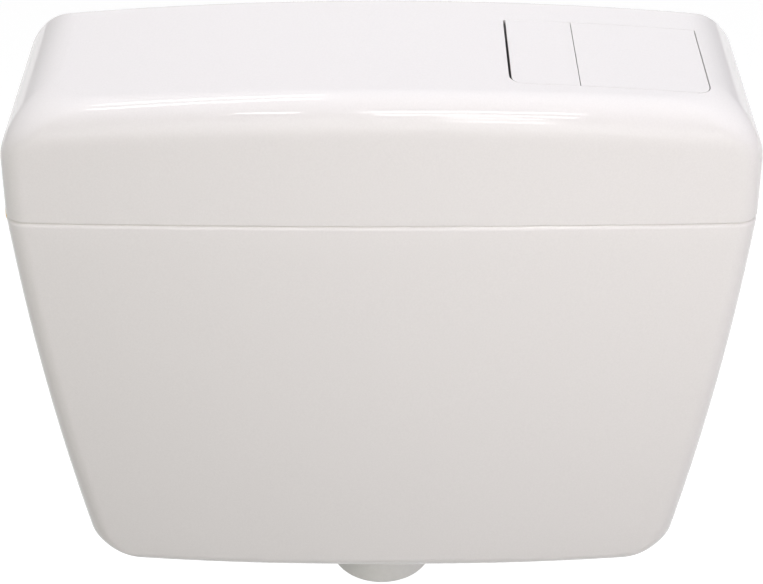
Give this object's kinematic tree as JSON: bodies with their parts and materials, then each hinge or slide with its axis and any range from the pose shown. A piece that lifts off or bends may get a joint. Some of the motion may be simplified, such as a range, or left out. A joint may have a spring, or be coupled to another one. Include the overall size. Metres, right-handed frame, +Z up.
{
  "type": "toilet cistern",
  "caption": "Low-level wall-hung toilet cistern in white plastic with a crowned lift-off lid, half- and full-flush keys, flush valve, float-operated fill valve and flush-pipe union.",
  "frame": {"origin": "on the wall plane, midway between the two wall screws", "axes": "+X to the right as seen from the front, +Y into the wall, +Z up; the front faces -Y"},
  "size_m": [0.4431, 0.1326, 0.3825],
  "materials": {
    "casing": "glossy off-white",
    "white_plastic": "satin white",
    "grey_plastic": "satin grey",
    "blue_plastic": "satin blue",
    "rubber": "matt black",
    "brass": "turned",
    "steel": "drawn wire"
  },
  "bodies": {
    "tank": {"tank_shell": "casing", "lever_bracket": "grey_plastic", "half_pivot_pin": "steel", "full_pivot_pin": "steel", "outlet_body": "white_plastic", "outlet_washer": "rubber", "outlet_backnut": "white_plastic", "union_nut": "white_plastic", "pipe_seal": "rubber", "valve_basket": "blue_plastic", "inlet_tail": "brass", "inlet_washer": "rubber", "inlet_nut": "brass", "fill_valve_body": "white_plastic", "drop_tube": "white_plastic", "float_pivot_pin": "steel", "blanking_plug": "white_plastic", "blanking_washer": "rubber", "blanking_nut": "white_plastic"},
    "lid": {"lid_shell": "casing", "key_frame": "white_plastic", "frame_screws": "steel", "key_hinge_pin": "steel"},
    "half_key": {"half_flush_key": "casing"},
    "full_key": {"full_flush_key": "casing"},
    "half_lever": {"half_rocker": "grey_plastic"},
    "full_lever": {"full_rocker": "grey_plastic"},
    "half_flush": {"half_flush_float": "white_plastic", "half_lift_rod": "grey_plastic"},
    "flush_stem": {"overflow_stem": "blue_plastic", "main_seal": "rubber", "seal_retainer": "grey_plastic", "stem_float": "white_plastic", "full_lift_rod": "grey_plastic"},
    "arm": {"float_arm": "white_plastic", "float_hang_pin": "steel"},
    "float": {"float_screw": "blue_plastic", "float_nut": "blue_plastic", "float_cup": "white_plastic"},
    "piston": {"valve_piston": "brass", "piston_seal": "rubber"}
  },
  "joints": [
    {"name": "lid_lift", "type": "slide", "parent": "tank", "child": "lid", "axis": [0, 0, 1], "range_m": [0, 0.12]},
    {"name": "half_key_press", "type": "hinge", "parent": "lid", "child": "half_key", "pos_m": [0.0911, -0.031, 0.0905], "axis": [1, 0, 0], "range_deg": [0, 11]},
    {"name": "full_key_press", "type": "hinge", "parent": "lid", "child": "full_key", "pos_m": [0.1478, -0.031, 0.0905], "axis": [1, 0, 0], "range_deg": [0, 11]},
    {"name": "half_rocker_tilt", "type": "hinge", "parent": "tank", "child": "half_lever", "pos_m": [0.045, -0.088, 0.064], "axis": [0, 1, 0], "range_deg": [0, 13.8]},
    {"name": "full_rocker_tilt", "type": "hinge", "parent": "tank", "child": "full_lever", "pos_m": [0.08, -0.066, 0.064], "axis": [0, 1, 0], "range_deg": [0, 9.4]},
    {"name": "half_float_lift", "type": "slide", "parent": "tank", "child": "half_flush", "axis": [0, 0, 1], "range_m": [0, 0.0108]},
    {"name": "stem_lift", "type": "slide", "parent": "tank", "child": "flush_stem", "axis": [0, 0, 1], "range_m": [0, 0.013]},
    {"name": "float_swing", "type": "hinge", "parent": "tank", "child": "arm", "pos_m": [-0.16044, -0.052, -0.022], "axis": [0, -1, 0], "range_deg": [0, 25]},
    {"name": "float_level", "type": "hinge", "parent": "arm", "child": "float", "pos_m": [-0.08672, -0.052, -0.07362], "axis": [0, -1, 0], "range_deg": [-25.5, 0.5]},
    {"name": "piston_slide", "type": "slide", "parent": "tank", "child": "piston", "axis": [-1, 0, 0], "range_m": [0, 0.0052]}
  ],
  "couplings": [
    {"joint": "half_rocker_tilt", "follows": "half_key_press", "ratio": 1.2391},
    {"joint": "half_float_lift", "follows": "half_key_press", "m_per_rad": 0.05523},
    {"joint": "full_rocker_tilt", "follows": "full_key_press", "ratio": 0.8382},
    {"joint": "stem_lift", "follows": "full_key_press", "m_per_rad": 0.06677},
    {"joint": "float_level", "follows": "float_swing", "ratio": -1},
    {"joint": "piston_slide", "follows": "float_swing", "m_per_rad": 0.011623}
  ]
}
